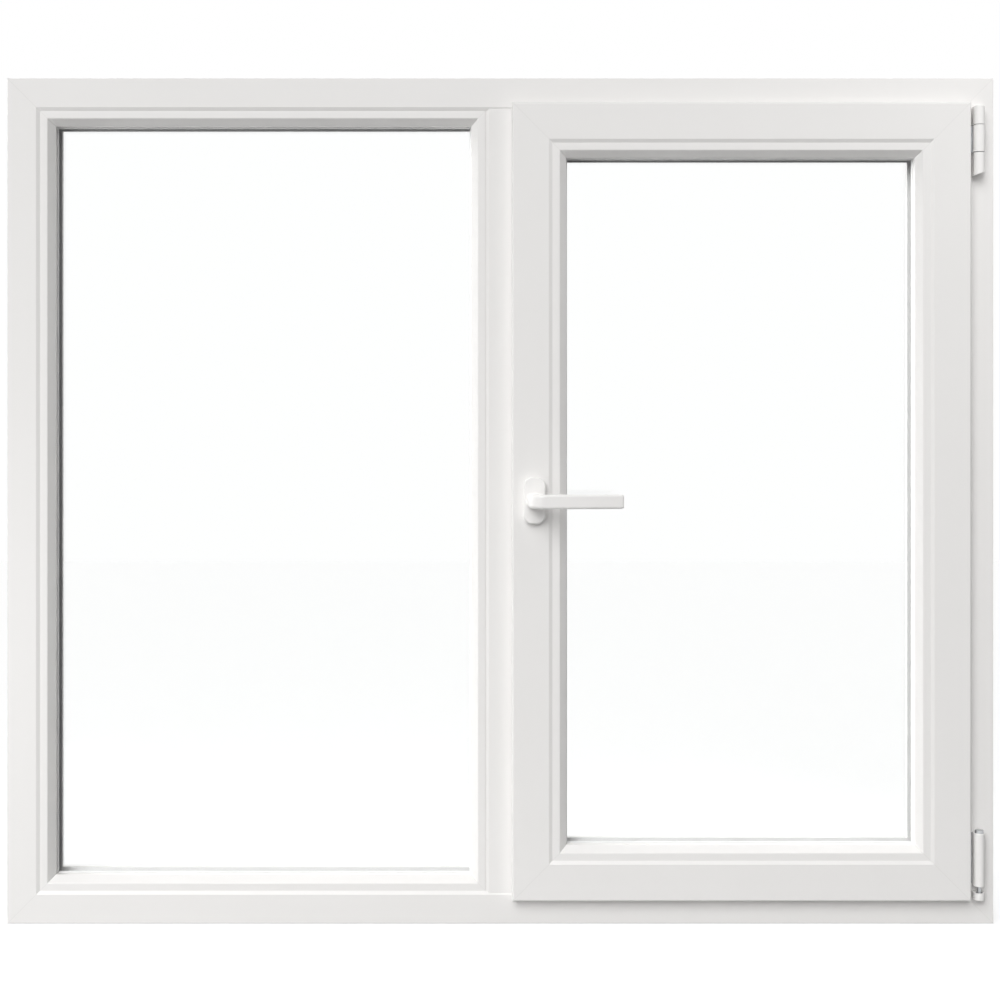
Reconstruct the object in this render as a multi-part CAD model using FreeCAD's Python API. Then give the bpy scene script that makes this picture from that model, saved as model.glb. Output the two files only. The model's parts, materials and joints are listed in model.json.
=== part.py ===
import FreeCAD, Part
import math
import os
from collections import namedtuple

# A two-light PVC window: a fixed light on the left, a tilt and turn sash on the right.
# Millimetres. X runs to the right seen from the room, +Y points outdoors, +Z is up.
# The origin is the middle of the frame's underside, halfway through its depth.

# Overall size
WINDOW_WIDTH = 1400.0
WINDOW_HEIGHT = 1200.0
FRAME_DEPTH = 70.0

# Frame section: room-side face, then a rebate closed by a stop on the outdoor side
FRAME_FACE = 46.0
REBATE_HEIGHT = 20.0
FRAME_STOP = 16.0
BEVEL_WIDTH = 5.0
BEVEL_DEPTH = 2.5
STOP_BEVEL = 3.0
EDGE_ROUND = 1.2
WALL_GROOVE_WIDTH = 8.0
WALL_GROOVE_DEPTH = 3.0
WALL_GROOVE_OFFSET = 18.0

# Mullion
MULLION_FACE = 46.0
MULLION_SETBACK = 1.0
MULLION_CENTRE = 2.0

# Sash section and how it sits in the frame
FLANGE_THICKNESS = 15.0
SASH_FACE = 57.0
SASH_STOP = 16.0
SASH_ROUND = 3.0
SASH_OVERLAP = 9.0
FACE_GAP = 6.0
CHAMBER_GAP = 12.0

# Hardware groove round the sash edge
GROOVE_WIDTH = 16.0
GROOVE_STEP = 3.0
GROOVE_CHANNEL = 12.0
GROOVE_DEPTH = 10.0
GROOVE_FROM_FLANGE = 4.0

# Glazing
PANE = 4.0
CAVITY = 16.0
PANE_EDGE_GAP = 5.0
SPACER_SIGHT = 11.0
SPACER_EDGE = 1.0
OUTER_SEAL_GAP = 3.5
INNER_SEAL_GAP = 3.0
SEAL_LIP = 2.0
SEAL_SEAT = 6.0
SEAL_ROOT_WIDTH = 2.6
SEAL_ROOT_DEPTH = 2.8
SEAL_ROOT_FROM_EDGE = 6.0

# Glazing bead, clipped into a groove in the rebate
BEAD_FLAT = 10.5
BEAD_NOSE = 10.0
BEAD_ROUND = 2.5
NOSE_ROUND = 0.8
CLIP_WIDTH = 3.6
CLIP_DEPTH = 3.5
CLIP_FROM_FACE = 6.5
CLIP_PLAY = 0.2

# Sash seals
SEAL_PLAY = 0.8
FLANGE_SEAL_INSET = 1.5
FLANGE_SEAL_WIDTH = 5.0
STRAP_CLEARANCE = 3.0

# Hinge line, measured from the sash's edge and the frame's room face
HINGE_FROM_SASH = 13.0
HINGE_FROM_FACE = 13.0
BARREL_RADIUS = 7.5
PIN_RADIUS = 3.0
PIN_PLAY = 0.08
KNUCKLE_GAP = 0.5
STRAP_THICKNESS = 3.0
STRAP_GAP = 1.0

# Top hinge, heights measured down from the top of the frame
TOP_CAP_START = 41.0
TOP_KNUCKLE_START = 68.0
TOP_LUG_START = 107.0
TOP_LUG_END = 140.0
LUG_SLANT = 6.0

# Bottom hinge, heights measured up from the underside of the frame
FOOT_START = 38.0
FOOT_END = 48.0
TILT_HEIGHT = 44.0
CUP_DEPTH = 8.0
CUP_RADIUS = 5.0
BUSH_BORE = 3.5
BALL_FLAT = 2.2
STEM_RADIUS = 2.8
BOTTOM_KNUCKLE_START = 57.0
BOTTOM_KNUCKLE_END = 132.0
CAP_WALL = 1.6
CORE_ABOVE_CAP = 4.0
LEAF_WIDTH = 26.0
LEAF_MARGIN = 2.0
BARREL_CHAMFER = 1.0

# Stay arm, in the gap over the sash
ARM_LENGTH = 330.0
ARM_WIDTH = 14.0
ARM_THICKNESS = 3.0
ARM_ABOVE_SASH = 3.0
ARM_PIN_DROP = 8.0

# Locking hardware
PLATE_THICKNESS = 2.6
CAM_STEM = 3.2
CAM_HEAD = 5.0
CAM_HEAD_START = 3.5
CAM_CHAMFER = 0.8
CAM_HEIGHT = 6.5
KEEP_LENGTH = 60.0
KEEP_WIDTH = 20.0
KEEP_HEIGHT = 4.0
KEEP_PLATE = 1.8
KEEP_CORNER = 5.0
KEEP_LIP_WIDTH = 3.5
KEEP_LIP_LENGTH = 34.0
KEEP_OFFSET = 48.0
PLATE_END = 55.0
CAM_FROM_END = 150.0

# Handle
HANDLE_FROM_EDGE = 31.5
HANDLE_ABOVE_MIDDLE = 2.0
ROSE_WIDTH = 31.0
ROSE_HEIGHT = 65.0
ROSE_THICKNESS = 11.0
ROSE_CORNER = 12.0
ROSE_CHAMFER = 1.5
LEVER_REACH = 122.0
LEVER_HEIGHT = 20.0
LEVER_THICKNESS = 12.0
LEVER_STANDOFF = 27.0
LEVER_SWEEP = 8.0
LEVER_TIP = 9.0
LEVER_ROUND = 3.5
LEVER_END = 2.0
NECK_WIDTH = 22.0
NECK_CORNER = 7.0
BEND_RADIUS = 15.0
BEND_STEPS = 5
BAR_STEPS = 3
COLLAR_RADIUS = 13.0
COLLAR_THICKNESS = 4.0
SPIGOT_RADIUS = 8.0
SPIGOT_DEPTH = 4.0
SPIGOT_PLAY = 0.08
LEVER_GAP = 0.3

# Drainage slots in the outdoor face of the sill
DRAIN_LENGTH = 28.0
DRAIN_HEIGHT = 5.0
DRAIN_DEPTH = 8.0
DRAIN_ROUND = 2.4
DRAIN_LEVEL = 26.0
DRAIN_FROM_MIDDLE = 350.0
DRAIN_SPACING = 350.0

Vector = FreeCAD.Vector
Rect = namedtuple("Rect", "left right bottom top")
SIDES = ("left", "right", "bottom", "top")
LEVEL_TOLERANCE = 0.01

# Places that the sizes above work out to
ROOM_FACE = -FRAME_DEPTH / 2
OUTDOOR_FACE = FRAME_DEPTH / 2
STOP_FACE = OUTDOOR_FACE - FRAME_STOP
SASH_OUTDOOR = STOP_FACE - FACE_GAP
SASH_STOP_FACE = SASH_OUTDOOR - SASH_STOP
FLANGE_BACK = ROOM_FACE - FACE_GAP
SASH_ROOM = FLANGE_BACK - FLANGE_THICKNESS
SASH_EDGE = SASH_OVERLAP + CHAMBER_GAP
HALF_MULLION = MULLION_FACE / 2

OUTER = Rect(-WINDOW_WIDTH / 2, WINDOW_WIDTH / 2, 0.0, WINDOW_HEIGHT)
LIGHT_TOP = WINDOW_HEIGHT - FRAME_FACE
FIXED_LIGHT = Rect(OUTER.left + FRAME_FACE, MULLION_CENTRE - HALF_MULLION, FRAME_FACE, LIGHT_TOP)
SASH_LIGHT = Rect(MULLION_CENTRE + HALF_MULLION, OUTER.right - FRAME_FACE, FRAME_FACE, LIGHT_TOP)


def inset(rect, distance):
    return Rect(rect.left + distance, rect.right - distance, rect.bottom + distance, rect.top - distance)


SASH = inset(SASH_LIGHT, -SASH_OVERLAP)
SASH_BODY = inset(SASH, SASH_EDGE)
SASH_GLAZING = inset(SASH, SASH_FACE)

HINGE_X = SASH.right + HINGE_FROM_SASH
HINGE_Y = ROOM_FACE - HINGE_FROM_FACE
STRAP_BACK = ROOM_FACE - STRAP_GAP
STRAP_FRONT = STRAP_BACK - STRAP_THICKNESS
GROOVE_NEAR = FLANGE_BACK + GROOVE_FROM_FLANGE
GROOVE_FAR = GROOVE_NEAR + GROOVE_WIDTH
GROOVE_MIDDLE = (GROOVE_NEAR + GROOVE_FAR) / 2
HANDLE_X = SASH.left + HANDLE_FROM_EDGE
HANDLE_Z = WINDOW_HEIGHT / 2 + HANDLE_ABOVE_MIDDLE
ROSE_FRONT = SASH_ROOM - ROSE_THICKNESS


# Basic shapes


def wire_through(corners, place):
    """A closed wire through (across, depth) corners; a third value rounds that corner."""
    points = [place(corner[0], corner[1]) for corner in corners]
    starts, ends, edges = [], [], []
    for index, corner in enumerate(corners):
        point = points[index]
        radius = corner[2] if len(corner) > 2 else 0.0
        back = (points[index - 1] - point).normalize()
        ahead = (points[(index + 1) % len(points)] - point).normalize()
        half_angle = back.getAngle(ahead) / 2
        start = point + back * (radius / math.tan(half_angle))
        end = point + ahead * (radius / math.tan(half_angle))
        if radius:
            towards = (back + ahead).normalize()
            middle = point + towards * (radius / math.sin(half_angle) - radius)
            edges.append(Part.Arc(start, middle, end).toShape())
        starts.append(start)
        ends.append(end)
    for index, end in enumerate(ends):
        following = starts[(index + 1) % len(starts)]
        edges.append(Part.makeLine(end, following))
    return Part.Wire(Part.__sortEdges__(edges))


def prism(corners, place, travel):
    """A solid drawn out of a closed outline along the travel vector."""
    return Part.Face(wire_through(corners, place)).extrude(travel)


def block(x_range, y_range, z_range):
    size = [high - low for low, high in (x_range, y_range, z_range)]
    return Part.makeBox(*size, Vector(x_range[0], y_range[0], z_range[0]))


def upright(radius, x, y, z_range):
    return Part.makeCylinder(radius, z_range[1] - z_range[0], Vector(x, y, z_range[0]))


def chamfer_rim(solid, axis, level, size):
    """The solid with the edges of its flat end at that level along X, Y or Z chamfered."""
    rim = [
        edge
        for edge in solid.Edges
        if all(abs(getattr(vertex, axis) - level) < LEVEL_TOLERANCE for vertex in edge.Vertexes)
    ]
    return solid.makeChamfer(size, rim)


def turned(profile, base, axis):
    """A solid turned from (radius, height) corners, standing on base along axis."""
    face = Part.Face(wire_through(profile, lambda radius, height: Vector(radius, 0, height)))
    solid = face.revolve(Vector(0, 0, 0), Vector(0, 0, 1), 360)
    solid.Placement = FreeCAD.Placement(base, FreeCAD.Rotation(Vector(0, 0, 1), axis))
    return solid


def side_corners(rect, side):
    """Both ends, as (x, z), of one side of a rectangle."""
    return {
        "left": ((rect.left, rect.bottom), (rect.left, rect.top)),
        "right": ((rect.right, rect.bottom), (rect.right, rect.top)),
        "bottom": ((rect.left, rect.bottom), (rect.right, rect.bottom)),
        "top": ((rect.left, rect.top), (rect.right, rect.top)),
    }[side]


def mitred_bar(section, rect, side):
    """One length of a section round a rectangle, with a mitre at both ends.

    The section's first coordinate runs inwards from the rectangle, the second is depth.
    """
    near = min(corner[0] for corner in section)
    far = max(corner[0] for corner in section)
    start_x, start_z = rect.left + near, rect.bottom + near
    place = {
        "left": lambda across, depth: Vector(rect.left + across, depth, start_z),
        "right": lambda across, depth: Vector(rect.right - across, depth, start_z),
        "bottom": lambda across, depth: Vector(start_x, depth, rect.bottom + across),
        "top": lambda across, depth: Vector(start_x, depth, rect.top - across),
    }[side]
    if side in ("left", "right"):
        travel = Vector(0, 0, rect.top - rect.bottom - 2 * near)
    else:
        travel = Vector(rect.right - rect.left - 2 * near, 0, 0)
    bar = prism(section, place, travel)
    first, last = side_corners(inset(rect, near), side)
    inner_first, inner_last = side_corners(inset(rect, far), side)
    lowest = min(corner[1] for corner in section)
    highest = max(corner[1] for corner in section)
    mitre = prism(
        [first, last, inner_last, inner_first],
        lambda x, z: Vector(x, lowest, z),
        Vector(0, highest - lowest, 0),
    )
    return bar.common(mitre)


def ring(section, rect):
    """A section carried all the way round a rectangle as one piece."""
    bars = [mitred_bar(section, rect, side) for side in SIDES]
    return bars[0].fuse(bars[1:]).removeSplitter()


# Frame and mullion


def clip_groove(ground, room_face):
    """Corners of the groove in a rebate that holds the bead's foot."""
    near = room_face + CLIP_FROM_FACE
    return [
        (ground, near),
        (ground - CLIP_DEPTH, near),
        (ground - CLIP_DEPTH, near + CLIP_WIDTH),
        (ground, near + CLIP_WIDTH),
    ]


def seal_groove(stop_edge, stop_face):
    """Corners of the groove in a stop that holds a seal's root."""
    inner = stop_edge - SEAL_ROOT_FROM_EDGE
    return [
        (inner - SEAL_ROOT_WIDTH, stop_face),
        (inner - SEAL_ROOT_WIDTH, stop_face + SEAL_ROOT_DEPTH),
        (inner, stop_face + SEAL_ROOT_DEPTH),
        (inner, stop_face),
    ]


def rebated_edge(ground, room_face, stop_face, outdoor_face, setback=0.0):
    """The inner edge of a frame, mullion or sash: bevel, rebate, stop.

    A setback moves the face and its bevel, not the groove that the beads share.
    """
    stop_edge = ground + REBATE_HEIGHT
    return [
        (ground - BEVEL_WIDTH, room_face + setback, EDGE_ROUND),
        (ground, room_face + setback + BEVEL_DEPTH),
        *clip_groove(ground, room_face),
        (ground, stop_face),
        *seal_groove(stop_edge, stop_face),
        (stop_edge, stop_face),
        (stop_edge, outdoor_face - STOP_BEVEL, EDGE_ROUND),
        (stop_edge - STOP_BEVEL, outdoor_face, EDGE_ROUND),
    ]


def wall_groove(depth):
    """Corners of one groove in the frame's wall side, met while going towards the room."""
    half = WALL_GROOVE_WIDTH / 2
    return [
        (0.0, depth + half),
        (WALL_GROOVE_DEPTH, depth + half),
        (WALL_GROOVE_DEPTH, depth - half),
        (0.0, depth - half),
    ]


def frame_section():
    return [
        (0.0, ROOM_FACE, EDGE_ROUND),
        *rebated_edge(FRAME_FACE, ROOM_FACE, STOP_FACE, OUTDOOR_FACE),
        (0.0, OUTDOOR_FACE, EDGE_ROUND),
        *wall_groove(WALL_GROOVE_OFFSET),
        *wall_groove(-WALL_GROOVE_OFFSET),
    ]


def drain_slots():
    """Round-ended slots in the sill, a pair under each light."""
    slots = []
    for light, place in ((-1, -1), (-1, 1), (1, -1), (1, 1)):
        middle = light * DRAIN_FROM_MIDDLE + place * DRAIN_SPACING / 2
        corners = [
            (middle + x_sign * DRAIN_LENGTH / 2, DRAIN_LEVEL + z_sign * DRAIN_HEIGHT / 2, DRAIN_ROUND)
            for x_sign, z_sign in ((-1, -1), (1, -1), (1, 1), (-1, 1))
        ]
        floor = OUTDOOR_FACE - DRAIN_DEPTH
        slots.append(prism(corners, lambda x, z: Vector(x, floor, z), Vector(0, DRAIN_DEPTH, 0)))
    return slots


def frame_members():
    names = {
        "left": "frame_left_jamb",
        "right": "frame_right_jamb",
        "bottom": "frame_sill",
        "top": "frame_head",
    }
    members = {names[side]: mitred_bar(frame_section(), OUTER, side) for side in SIDES}
    members["frame_sill"] = members["frame_sill"].cut(drain_slots())
    return members


def mullion():
    """A T section whose ends are shaped to lie on the bevel, rebate and stop of head and sill."""
    half_edge = rebated_edge(HALF_MULLION, ROOM_FACE, STOP_FACE, OUTDOOR_FACE, MULLION_SETBACK)
    other_edge = [(-corner[0], *corner[1:]) for corner in reversed(half_edge)]
    foot = FRAME_FACE - BEVEL_WIDTH
    place = lambda across, depth: Vector(MULLION_CENTRE + across, depth, foot)
    bar = prism(half_edge + other_edge, place, Vector(0, 0, LIGHT_TOP + BEVEL_WIDTH - foot))
    low_end = [
        (ROOM_FACE, foot),
        (ROOM_FACE + BEVEL_DEPTH, FRAME_FACE),
        (STOP_FACE, FRAME_FACE),
        (STOP_FACE, FRAME_FACE + REBATE_HEIGHT),
        (OUTDOOR_FACE, FRAME_FACE + REBATE_HEIGHT),
    ]
    high_end = [(depth, WINDOW_HEIGHT - height) for depth, height in reversed(low_end)]
    width = (FIXED_LIGHT.right - REBATE_HEIGHT, SASH_LIGHT.left + REBATE_HEIGHT)
    beside = lambda depth, height: Vector(width[0], depth, height)
    return bar.common(prism(low_end + high_end, beside, Vector(width[1] - width[0], 0, 0)))


# Glazing, the same in the fixed light and in the sash


def bead_section(room_face, stop_face):
    front = room_face + BEVEL_DEPTH
    back = stop_face - OUTER_SEAL_GAP - 2 * PANE - CAVITY - INNER_SEAL_GAP
    foot = room_face + CLIP_FROM_FACE + CLIP_PLAY
    return [
        (0.0, front),
        (BEAD_FLAT, front, BEAD_ROUND),
        (REBATE_HEIGHT, back - BEAD_NOSE, NOSE_ROUND),
        (REBATE_HEIGHT, back),
        (0.0, back),
        (0.0, foot + CLIP_WIDTH - 2 * CLIP_PLAY),
        (CLIP_PLAY - CLIP_DEPTH, foot + CLIP_WIDTH - 2 * CLIP_PLAY),
        (CLIP_PLAY - CLIP_DEPTH, foot),
        (0.0, foot),
    ]


def bead_seal_section(bead_back):
    """The soft lip between bead and glass, wider than the bead by the lip that shows."""
    return [
        (REBATE_HEIGHT - SEAL_SEAT, bead_back),
        (REBATE_HEIGHT, bead_back),
        (REBATE_HEIGHT + SEAL_LIP / 3, bead_back - SEAL_LIP / 5),
        (REBATE_HEIGHT + SEAL_LIP, bead_back + INNER_SEAL_GAP),
        (REBATE_HEIGHT - SEAL_SEAT, bead_back + INNER_SEAL_GAP),
    ]


def stop_seal_section(stop_face, thickness, lip):
    """A seal rooted in the stop's groove, pressed against glass or sash."""
    inner = REBATE_HEIGHT - SEAL_ROOT_FROM_EDGE
    return [
        (REBATE_HEIGHT + lip, stop_face - thickness),
        (REBATE_HEIGHT + lip / 3, stop_face),
        (inner, stop_face),
        (inner, stop_face + SEAL_ROOT_DEPTH),
        (inner - SEAL_ROOT_WIDTH, stop_face + SEAL_ROOT_DEPTH),
        (inner - SEAL_ROOT_WIDTH, stop_face - thickness),
    ]


def glazing(prefix, ground, room_face, stop_face):
    """Beads, panes, spacer and seals that fill one rebated opening."""
    outer_back = stop_face - OUTER_SEAL_GAP
    inner_front = outer_back - 2 * PANE - CAVITY
    bead_back = inner_front - INNER_SEAL_GAP
    glass = inset(ground, PANE_EDGE_GAP)
    width, height = (glass.left, glass.right), (glass.bottom, glass.top)
    spacer = [
        (SPACER_EDGE, inner_front + PANE),
        (SPACER_SIGHT, inner_front + PANE),
        (SPACER_SIGHT, outer_back - PANE),
        (SPACER_EDGE, outer_back - PANE),
    ]
    pieces = {
        f"{prefix}_room_pane": block(width, (inner_front, inner_front + PANE), height),
        f"{prefix}_outdoor_pane": block(width, (outer_back - PANE, outer_back), height),
        f"{prefix}_pane_spacer": ring(spacer, glass),
        f"{prefix}_bead_seal": ring(bead_seal_section(bead_back), ground),
        f"{prefix}_outdoor_seal": ring(stop_seal_section(stop_face, OUTER_SEAL_GAP, SEAL_LIP), ground),
    }
    for side in SIDES:
        pieces[f"{prefix}_{side}_bead"] = mitred_bar(bead_section(room_face, stop_face), ground, side)
    return pieces


# Sash


def hardware_groove():
    """Corners of the stepped groove in the sash's edge, met while going towards the room."""
    lip = (GROOVE_WIDTH - GROOVE_CHANNEL) / 2
    return [
        (SASH_EDGE, GROOVE_FAR),
        (SASH_EDGE + GROOVE_STEP, GROOVE_FAR),
        (SASH_EDGE + GROOVE_STEP, GROOVE_FAR - lip),
        (SASH_EDGE + GROOVE_DEPTH, GROOVE_FAR - lip),
        (SASH_EDGE + GROOVE_DEPTH, GROOVE_NEAR + lip),
        (SASH_EDGE + GROOVE_STEP, GROOVE_NEAR + lip),
        (SASH_EDGE + GROOVE_STEP, GROOVE_NEAR),
        (SASH_EDGE, GROOVE_NEAR),
    ]


def sash_section():
    seal_near = FLANGE_SEAL_INSET + (FLANGE_SEAL_WIDTH - SEAL_ROOT_WIDTH) / 2
    return [
        (0.0, SASH_ROOM, SASH_ROUND),
        *rebated_edge(SASH_FACE, SASH_ROOM, SASH_STOP_FACE, SASH_OUTDOOR),
        (SASH_EDGE, SASH_OUTDOOR, EDGE_ROUND),
        *hardware_groove(),
        (SASH_EDGE, FLANGE_BACK),
        (seal_near + SEAL_ROOT_WIDTH, FLANGE_BACK),
        (seal_near + SEAL_ROOT_WIDTH, FLANGE_BACK - SEAL_ROOT_DEPTH),
        (seal_near, FLANGE_BACK - SEAL_ROOT_DEPTH),
        (seal_near, FLANGE_BACK),
        (0.0, FLANGE_BACK, EDGE_ROUND),
    ]


def sash_members():
    names = {
        "left": "sash_lock_stile",
        "right": "sash_hinge_stile",
        "bottom": "sash_bottom_rail",
        "top": "sash_top_rail",
    }
    return {names[side]: mitred_bar(sash_section(), SASH, side) for side in SIDES}


def flange_seal():
    """Seal on the back of the sash's flange, left out where the hinge straps pass."""
    near, far = FLANGE_SEAL_INSET, FLANGE_SEAL_INSET + FLANGE_SEAL_WIDTH
    root_near = near + (FLANGE_SEAL_WIDTH - SEAL_ROOT_WIDTH) / 2
    section = [
        (near, ROOM_FACE - SEAL_PLAY),
        (far, ROOM_FACE - SEAL_PLAY),
        (far, FLANGE_BACK),
        (root_near + SEAL_ROOT_WIDTH, FLANGE_BACK),
        (root_near + SEAL_ROOT_WIDTH, FLANGE_BACK - SEAL_ROOT_DEPTH),
        (root_near, FLANGE_BACK - SEAL_ROOT_DEPTH),
        (root_near, FLANGE_BACK),
        (near, FLANGE_BACK),
    ]
    seal = ring(section, SASH)
    depth = (FLANGE_BACK - SEAL_ROOT_DEPTH, ROOM_FACE)
    across = (SASH.right - SASH_EDGE, SASH.right)
    gaps = [
        (low - STRAP_CLEARANCE, high + STRAP_CLEARANCE)
        for low, high in (bottom_strap_heights(), stay_strap_heights())
    ]
    return seal.cut([block(across, depth, gap) for gap in gaps])


# Hinges and stay


def hinge_block(back, z_range, radius=BARREL_RADIUS):
    """A barrel on the hinge line with a square back that reaches to a given depth."""
    nose = upright(radius, HINGE_X, HINGE_Y, z_range)
    return nose.fuse(block((HINGE_X - radius, HINGE_X + radius), (HINGE_Y, back), z_range)).removeSplitter()


def from_top(distance):
    return WINDOW_HEIGHT - distance


def bottom_strap_heights():
    return (BOTTOM_KNUCKLE_START + LEAF_MARGIN, BOTTOM_KNUCKLE_END - LEAF_MARGIN)


def stay_strap_heights():
    return (from_top(TOP_LUG_START) + KNUCKLE_GAP, SASH_BODY.top + ARM_ABOVE_SASH + ARM_THICKNESS)


def top_hinge():
    """Bracket on the frame: a cap above and a slant-ended lug below, joined by the pin."""
    cap = hinge_block(ROOM_FACE, (from_top(TOP_KNUCKLE_START) + KNUCKLE_GAP, from_top(TOP_CAP_START)))
    cap = chamfer_rim(cap, "Z", from_top(TOP_CAP_START), BARREL_CHAMFER)
    lug = hinge_block(ROOM_FACE, (from_top(TOP_LUG_END), from_top(TOP_LUG_START) - KNUCKLE_GAP))
    slant = prism(
        [
            (HINGE_X - BARREL_RADIUS, from_top(TOP_LUG_END)),
            (HINGE_X + BARREL_RADIUS, from_top(TOP_LUG_END)),
            (HINGE_X + BARREL_RADIUS, from_top(TOP_LUG_END) + LUG_SLANT),
        ],
        lambda x, z: Vector(x, HINGE_Y - BARREL_RADIUS, z),
        Vector(0, HINGE_FROM_FACE + BARREL_RADIUS, 0),
    )
    pin_z = (from_top(TOP_LUG_END) + 2 * LUG_SLANT, from_top(TOP_CAP_START) - LUG_SLANT)
    pin = upright(PIN_RADIUS, HINGE_X, HINGE_Y, pin_z)
    return {
        "top_hinge_bracket": Part.makeCompound([cap.cut(pin), lug.cut(slant).cut(pin)]),
        "top_hinge_pin": pin,
    }


def stay_arm():
    """Knuckle on the top hinge pin, strap behind the sash flange, and arm over the sash."""
    knuckle_z = (from_top(TOP_LUG_START) + KNUCKLE_GAP, from_top(TOP_KNUCKLE_START) - KNUCKLE_GAP)
    knuckle = upright(BARREL_RADIUS, HINGE_X, HINGE_Y, knuckle_z)
    web = block((HINGE_X - BARREL_RADIUS, HINGE_X), (HINGE_Y, STRAP_BACK), knuckle_z)
    arm_low = SASH_BODY.top + ARM_ABOVE_SASH
    arm_z = (arm_low, arm_low + ARM_THICKNESS)
    strap_left = SASH_BODY.right + STRAP_THICKNESS
    strap_depth = (STRAP_FRONT, STRAP_BACK)
    strap = block((strap_left, HINGE_X), strap_depth, knuckle_z)
    riser = block((strap_left, SASH.right - STRAP_GAP), strap_depth, (knuckle_z[0], arm_z[1]))
    corner_right = SASH_LIGHT.right - STRAP_GAP
    arm_depth = (GROOVE_MIDDLE - ARM_WIDTH / 2, GROOVE_MIDDLE + ARM_WIDTH / 2)
    corner = block((strap_left, corner_right), (STRAP_FRONT, arm_depth[1]), arm_z)
    tip_x = HINGE_X - ARM_LENGTH
    bar = block((tip_x, corner_right), arm_depth, arm_z)
    tip = upright(ARM_WIDTH / 2, tip_x, GROOVE_MIDDLE, arm_z)
    stud = upright(PIN_RADIUS, tip_x, GROOVE_MIDDLE, (arm_z[0] - ARM_PIN_DROP, arm_z[0]))
    bore = upright(PIN_RADIUS + PIN_PLAY, HINGE_X, HINGE_Y, knuckle_z)
    body = knuckle.fuse([web, strap, riser, corner, bar, tip, stud])
    return body.cut(bore).removeSplitter()


def bottom_hinge():
    """Foot on the frame, bush that turns in it, and the sash's ball-ended pin and knuckle."""
    cup_floor = FOOT_END - CUP_DEPTH
    foot = hinge_block(ROOM_FACE, (FOOT_START, FOOT_END))
    foot = foot.cut(upright(CUP_RADIUS, HINGE_X, HINGE_Y, (cup_floor, FOOT_END)))
    bush_z = (cup_floor + PIN_PLAY, FOOT_END)
    bush = upright(CUP_RADIUS - PIN_PLAY, HINGE_X, HINGE_Y, bush_z)
    bush = bush.cut(upright(BUSH_BORE, HINGE_X, HINGE_Y, bush_z))
    ball_radius = BUSH_BORE - PIN_PLAY
    ball = Part.makeSphere(ball_radius, Vector(HINGE_X, HINGE_Y, TILT_HEIGHT))
    ball_z = (TILT_HEIGHT - BALL_FLAT, TILT_HEIGHT + ball_radius)
    ball = ball.common(upright(ball_radius, HINGE_X, HINGE_Y, ball_z))
    core_radius = BARREL_RADIUS - CAP_WALL
    core_z = (BOTTOM_KNUCKLE_START, BOTTOM_KNUCKLE_END + CORE_ABOVE_CAP)
    stem = upright(STEM_RADIUS, HINGE_X, HINGE_Y, (TILT_HEIGHT, core_z[0] + core_radius))
    pin = ball.fuse(stem).removeSplitter()
    strap_z = bottom_strap_heights()
    leaf_left = SASH_BODY.right
    leaf_z = (SASH_BODY.bottom + LEAF_MARGIN, strap_z[1])
    leaf_depth = (STRAP_FRONT, STRAP_FRONT + LEAF_WIDTH)
    core = upright(core_radius, HINGE_X, HINGE_Y, core_z).fuse(
        [
            block((HINGE_X - core_radius, HINGE_X), (HINGE_Y, STRAP_BACK), strap_z),
            block((leaf_left, HINGE_X), (STRAP_FRONT, STRAP_BACK), strap_z),
            block((leaf_left, leaf_left + STRAP_THICKNESS), leaf_depth, leaf_z),
        ]
    )
    core = core.cut(pin).removeSplitter()
    shell = hinge_block(STRAP_FRONT, (BOTTOM_KNUCKLE_START, BOTTOM_KNUCKLE_END))
    shell = chamfer_rim(shell, "Z", BOTTOM_KNUCKLE_END, BARREL_CHAMFER)
    cap = shell.cut(core).cut(upright(core_radius + PIN_PLAY, HINGE_X, HINGE_Y, core_z))
    return {
        "bottom_hinge_foot": foot,
        "bottom_hinge_bush": bush,
        "bottom_hinge_pin": pin,
        "bottom_hinge_knuckle": core,
        "bottom_hinge_cap": cap,
    }


# Locking hardware, seen when the sash is open


def edge_place(side, face):
    """A map from (along, depth, height off that side's face, towards the frame) to a point."""
    return {
        "left": lambda along, depth, height: Vector(face.left - height, depth, along),
        "top": lambda along, depth, height: Vector(along, depth, face.top + height),
        "bottom": lambda along, depth, height: Vector(along, depth, face.bottom - height),
    }[side]


def plate_on(place, span, depth, thickness, corner=0.0):
    """A plate laid on a face, with its corners rounded where a radius is given."""
    outline = [(along, across, corner) for along in span for across in depth]
    outline = [outline[0], outline[2], outline[3], outline[1]]
    lift = place(0, 0, thickness) - place(0, 0, 0)
    return prism(outline, lambda along, across: place(along, across, 0), lift)


def keep(side, middle):
    """A plate on the frame's rebate with a raised lip that the stud's head slides behind."""
    into_room = edge_place(side, SASH_LIGHT)
    place = lambda along, depth, height: into_room(along, depth, -height)
    depth = (GROOVE_MIDDLE - KEEP_WIDTH / 2, GROOVE_MIDDLE + KEEP_WIDTH / 2)
    span = (middle - KEEP_LENGTH / 2, middle + KEEP_LENGTH / 2)
    plate = plate_on(place, span, depth, KEEP_PLATE, KEEP_CORNER)
    lip_span = (middle - KEEP_LIP_LENGTH / 2, middle + KEEP_LIP_LENGTH / 2)
    lip = plate_on(place, lip_span, (depth[0], depth[0] + KEEP_LIP_WIDTH), KEEP_HEIGHT)
    return plate.fuse(lip).removeSplitter()


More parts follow.
